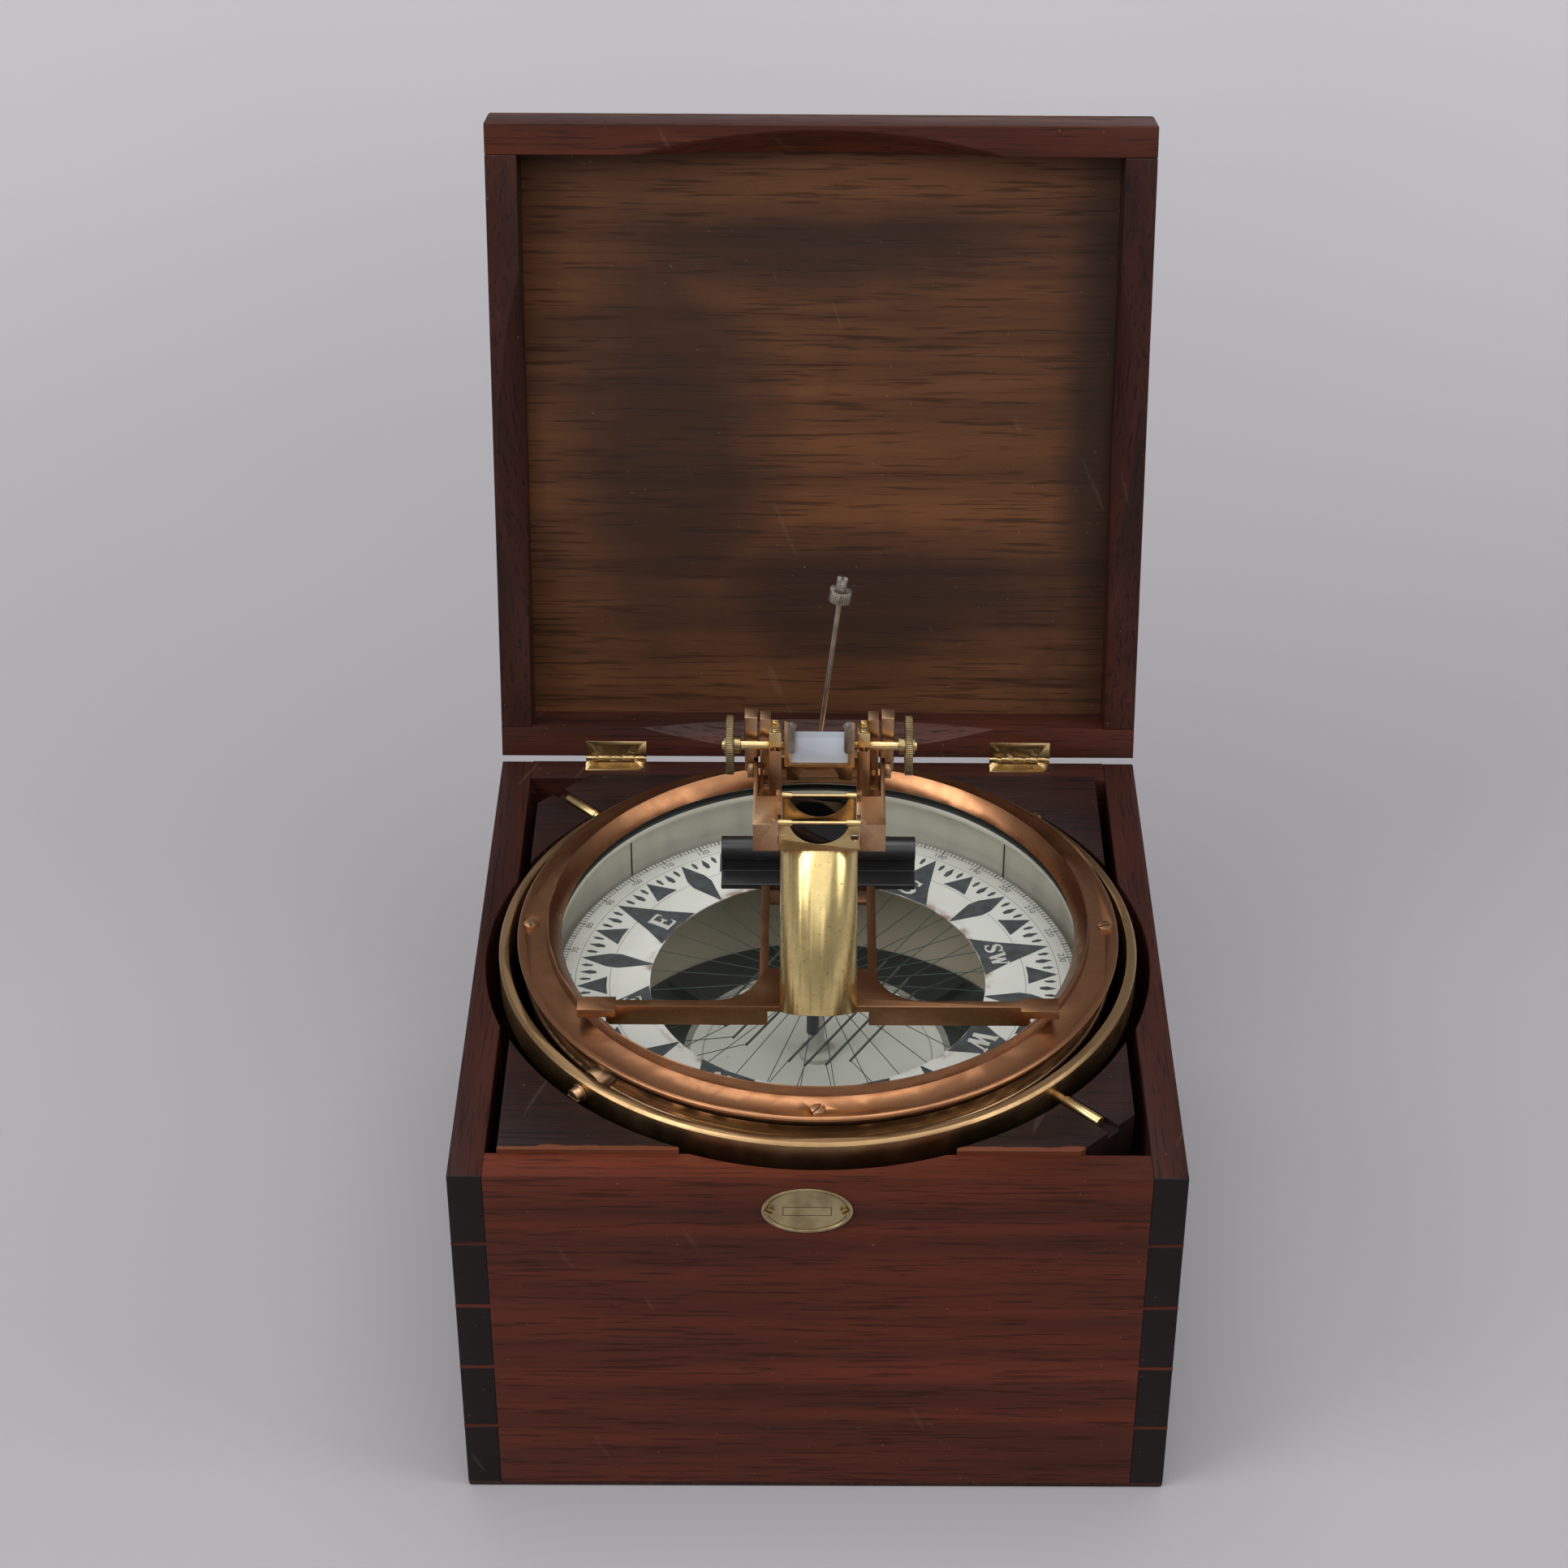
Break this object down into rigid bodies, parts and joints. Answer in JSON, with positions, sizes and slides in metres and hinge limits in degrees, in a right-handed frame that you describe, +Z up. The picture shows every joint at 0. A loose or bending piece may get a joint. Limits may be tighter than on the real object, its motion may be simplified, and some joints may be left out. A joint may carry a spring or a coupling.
{
  "type": "azimuth compass",
  "caption": "Wooden-cased compass bowl on gimbals with a turning azimuth prism instrument, shades and shadow pin.",
  "frame": {"origin": "centre of the case's underside", "axes": "+Z up, +Y towards the lid's hinges"},
  "size_m": [0.33, 0.4348, 0.5178],
  "materials": {
    "wood_case": "dark oiled mahogany",
    "wood_lid": "worn brown mahogany",
    "brass_polished": "polished brass with fine speckles",
    "brass_aged": "aged satin brass",
    "bronze": "brown toned bronze",
    "steel": "bright steel",
    "iron": "dark casting",
    "glass_clear": "clear plate glass",
    "glass_frosted": "frosted glass",
    "glass_dark": "dark neutral glass",
    "glass_prism": "clear glass block",
    "rubber_black": "satin black hard rubber",
    "rubber_seal": "soft seal",
    "paper": "printed off-white paper",
    "light_alloy": "thin light alloy",
    "silk": "green silk thread",
    "jewel": "polished jewel",
    "paint_dark": "dark paint"
  },
  "bodies": {
    "case": {"case_front": "wood_case", "case_back": "wood_case", "case_left": "wood_case", "case_right": "wood_case", "case_base": "wood_case", "block_front_left": "wood_case", "block_front_right": "wood_case", "block_back_left": "wood_case", "block_back_right": "wood_case", "name_plate": "brass_aged", "case_screws": "brass_aged", "case_hinge_leaves": "brass_aged", "hinge_pins": "brass_aged"},
    "lid": {"lid_front_rail": "wood_lid", "lid_back_rail": "wood_lid", "lid_left_rail": "wood_lid", "lid_right_rail": "wood_lid", "lid_panel": "wood_lid", "lid_hinge_leaves": "brass_aged", "lid_hinge_screws": "brass_aged"},
    "gimbal_ring": {"gimbal_ring": "brass_aged", "ring_pins": "brass_aged", "pivot_screws": "brass_aged"},
    "bowl": {"bowl_body": "brass_aged", "bezel_ring": "bronze", "bezel_screws": "bronze", "top_glass": "glass_clear", "glass_seal": "rubber_seal", "lubber_lines": "paint_dark", "bottom_window": "glass_frosted", "window_ring": "paint_dark", "pivot_post": "brass_aged", "post_nut": "brass_aged", "pivot_point": "steel", "ballast_weights": "iron"},
    "card": {"card_ring": "paper", "card_rim": "light_alloy", "card_hub": "light_alloy", "jewel_cap": "jewel", "card_threads": "silk", "card_needles": "steel"},
    "azimuth": {"azimuth_frame": "bronze", "grip": "rubber_black", "tube": "brass_polished", "tube_lens": "glass_prism", "index_pin": "paint_dark", "head_frame": "bronze", "bearing_caps": "brass_aged", "cap_screws": "brass_aged", "sight_arms": "bronze", "shade_pins": "brass_aged"},
    "prism_unit": {"prism_box": "bronze", "prism": "glass_prism", "spindle": "brass_aged", "knobs": "brass_aged"},
    "front_shade": {"front_shade_frame": "brass_aged", "front_shade_glass": "glass_dark"},
    "rear_shade": {"rear_shade_frame": "brass_aged", "rear_shade_glass": "glass_dark"},
    "shadow_pin": {"shadow_pin": "steel"}
  },
  "joints": [
    {"name": "lid_hinge", "type": "hinge", "parent": "case", "child": "lid", "pos_m": [0, 0.1665, 0.1946], "axis": [1, 0, 0], "range_deg": [0, 45]},
    {"name": "ring_tilt", "type": "hinge", "parent": "case", "child": "gimbal_ring", "pos_m": [0, 0, 0.195], "axis": [0.7071, -0.7071, 0], "range_deg": [-15, 15]},
    {"name": "bowl_tilt", "type": "hinge", "parent": "gimbal_ring", "child": "bowl", "pos_m": [0, 0, 0.195], "axis": [0.7071, 0.7071, 0], "range_deg": [-15, 15]},
    {"name": "card_turn", "type": "hinge", "parent": "bowl", "child": "card", "pos_m": [0, 0, 0.1764], "axis": [0, 0, 1], "continuous": true},
    {"name": "azimuth_turn", "type": "hinge", "parent": "bowl", "child": "azimuth", "pos_m": [0, 0, 0.2162], "axis": [0, 0, 1], "continuous": true},
    {"name": "prism_turn", "type": "hinge", "parent": "azimuth", "child": "prism_unit", "pos_m": [0, -0.0174, 0.3256], "axis": [1, 0, 0], "range_deg": [-20, 20]},
    {"name": "front_shade_swing", "type": "hinge", "parent": "azimuth", "child": "front_shade", "pos_m": [0, -0.0569, 0.3099], "axis": [-1, 0, 0], "range_deg": [0, 150]},
    {"name": "rear_shade_swing", "type": "hinge", "parent": "azimuth", "child": "rear_shade", "pos_m": [0, -0.038, 0.3118], "axis": [-1, 0, 0], "range_deg": [0, 150]},
    {"name": "shadow_pin_lift", "type": "slide", "parent": "azimuth", "child": "shadow_pin", "axis": [0.1132, 0, 0.9936], "range_m": [0, 0.02]}
  ]
}
